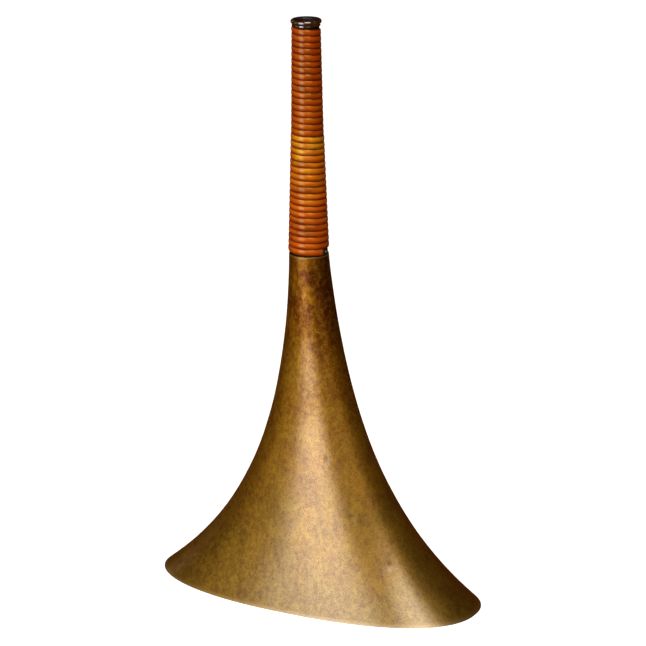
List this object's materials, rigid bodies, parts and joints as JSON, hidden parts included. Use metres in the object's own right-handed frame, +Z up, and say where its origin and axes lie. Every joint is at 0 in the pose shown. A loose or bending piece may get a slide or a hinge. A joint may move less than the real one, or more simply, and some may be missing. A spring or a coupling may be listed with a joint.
{
  "type": "acoustic horn",
  "caption": "Upright sheet-brass acoustic horn with an oval flared mouth, a long cane-bound neck and an open throat collar with a rolled lip.",
  "frame": {"origin": "middle of the oval mouth, in the plane of the rim that the horn stands on", "axes": "+Z up, from the mouth to the throat; +X along the mouth's long axis, on the side that the neck is further from; +Y along the mouth's short axis"},
  "size_m": [0.3023, 0.1414, 0.5022],
  "materials": {
    "patinated_brass": "mottled brown and olive patina over satin brass",
    "plain_brass": "dull, unpolished",
    "tarnished_brass": "dark tarnish, satin",
    "dark_lacquer": "glossy dark brown lacquer, worn to brass at the lip",
    "amber_cane": "varnished split cane, yellow-orange to red-orange",
    "russet_cane": "varnished split cane, red-brown",
    "tack_steel": "polished"
  },
  "bodies": {
    "root": {"horn_bell": "patinated_brass", "joint_sleeve": "plain_brass", "neck_tube": "tarnished_brass", "throat_collar": "dark_lacquer", "lower_cane_binding": "amber_cane", "upper_cane_binding": "russet_cane", "cane_tacks": "tack_steel"}
  },
  "joints": []
}
